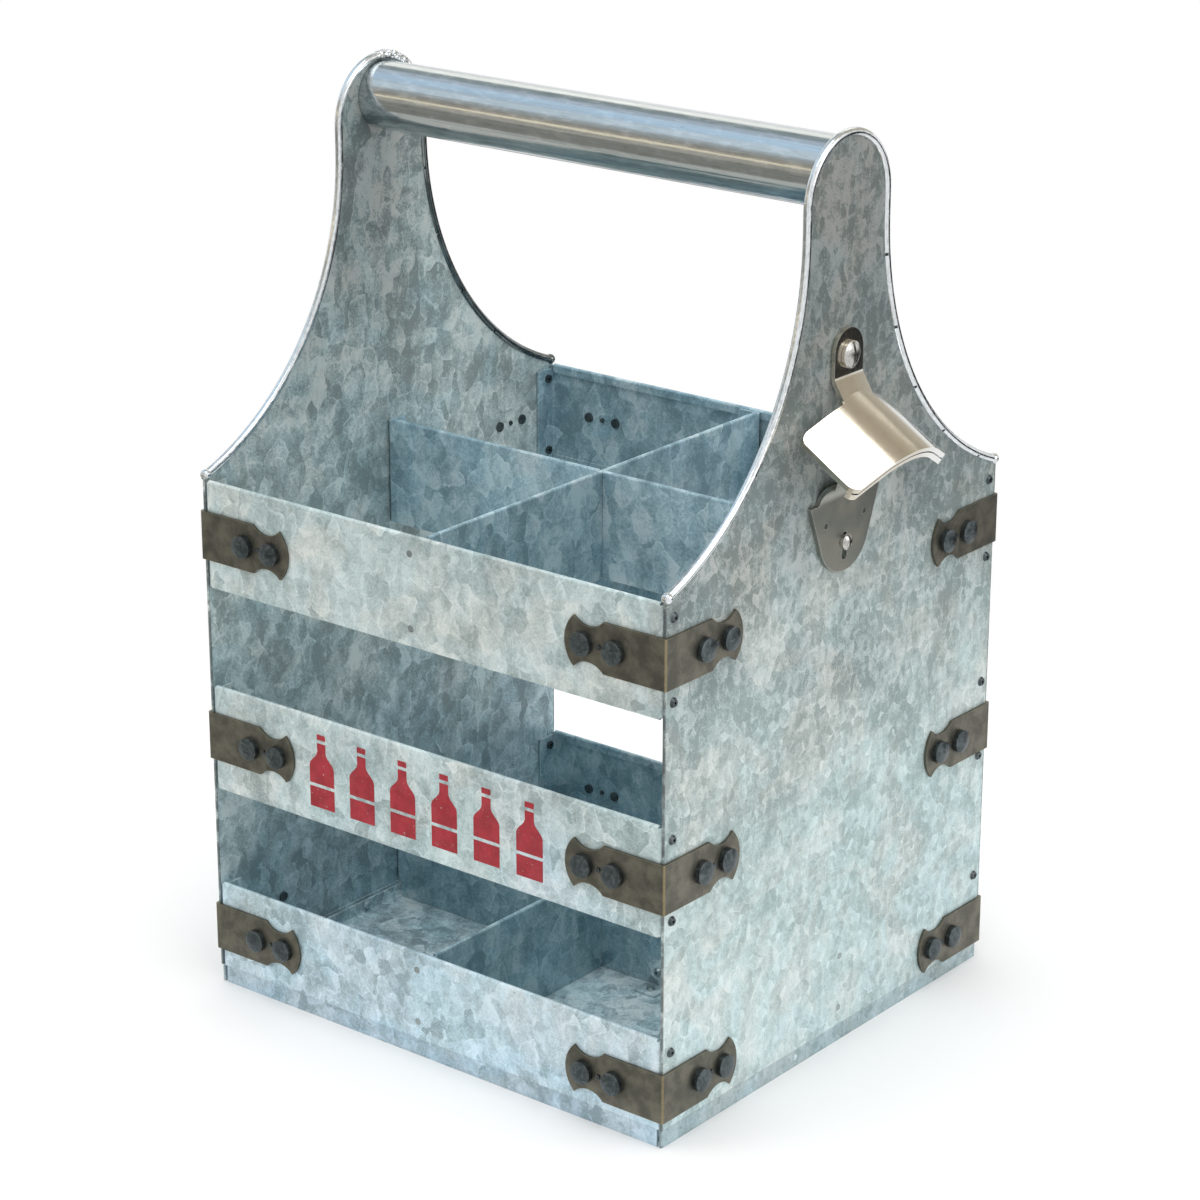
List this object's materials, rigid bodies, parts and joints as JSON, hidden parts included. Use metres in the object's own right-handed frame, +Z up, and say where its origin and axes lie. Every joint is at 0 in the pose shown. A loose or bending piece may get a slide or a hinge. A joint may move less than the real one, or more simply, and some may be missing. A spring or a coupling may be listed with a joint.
{
  "type": "bottle caddy",
  "caption": "Sheet-metal bottle caddy: slatted box with crossed dividers, tall curved end panels, fixed tube handle, riveted corner straps and a bottle opener on one end.",
  "frame": {"origin": "middle of the flat underside of the floor", "axes": "+X along the handle towards the end with the bottle opener, +Y from front to back across the handle, +Z up"},
  "size_m": [0.214, 0.1788, 0.2966],
  "materials": {
    "galvanised_sheet": "hot-dip galvanised sheet with a soft feathery spangle",
    "galvanised_inner": "galvanised sheet, slightly bluer and duller on the inside",
    "bright_trim": "bright zinc-plated split tube with small crimp marks",
    "handle_steel": "plated steel tube, satin with long draw marks",
    "dark_rivet_steel": "dark plated rivet steel, worn bright on the crowns",
    "aged_strap": "dark aged strap with worn brassy fold edge",
    "nickel_opener": "polished warm nickel plate",
    "plated_screw": "zinc-plated screws and nuts"
  },
  "bodies": {
    "root": {"left_end_panel": "galvanised_sheet", "right_end_panel": "galvanised_sheet", "left_edge_trim": "bright_trim", "right_edge_trim": "bright_trim", "handle_tube": "handle_steel", "front_top_slat": "galvanised_sheet", "front_middle_slat": "galvanised_sheet", "front_bottom_slat": "galvanised_sheet", "back_top_slat": "galvanised_inner", "back_middle_slat": "galvanised_inner", "back_bottom_slat": "galvanised_inner", "floor_pan": "galvanised_inner", "upper_long_divider": "galvanised_inner", "upper_cross_divider": "galvanised_inner", "lower_long_divider": "galvanised_inner", "lower_cross_divider": "galvanised_inner", "divider_foot_clip": "galvanised_inner", "strap_front_left_top": "aged_strap", "strap_front_left_middle": "aged_strap", "strap_front_left_bottom": "aged_strap", "strap_front_right_top": "aged_strap", "strap_front_right_middle": "aged_strap", "strap_front_right_bottom": "aged_strap", "strap_back_left_top": "aged_strap", "strap_back_left_middle": "aged_strap", "strap_back_left_bottom": "aged_strap", "strap_back_right_top": "aged_strap", "strap_back_right_middle": "aged_strap", "strap_back_right_bottom": "aged_strap", "strap_rivets_front_left": "dark_rivet_steel", "strap_rivets_front_right": "dark_rivet_steel", "strap_rivets_back_left": "dark_rivet_steel", "strap_rivets_back_right": "dark_rivet_steel", "slat_rivets": "dark_rivet_steel", "divider_rivets": "dark_rivet_steel", "floor_rivets": "dark_rivet_steel", "opener_hood": "nickel_opener", "opener_catch_plate": "nickel_opener", "opener_top_screw": "plated_screw", "opener_low_screw": "plated_screw", "opener_nut": "plated_screw"}
  },
  "joints": []
}
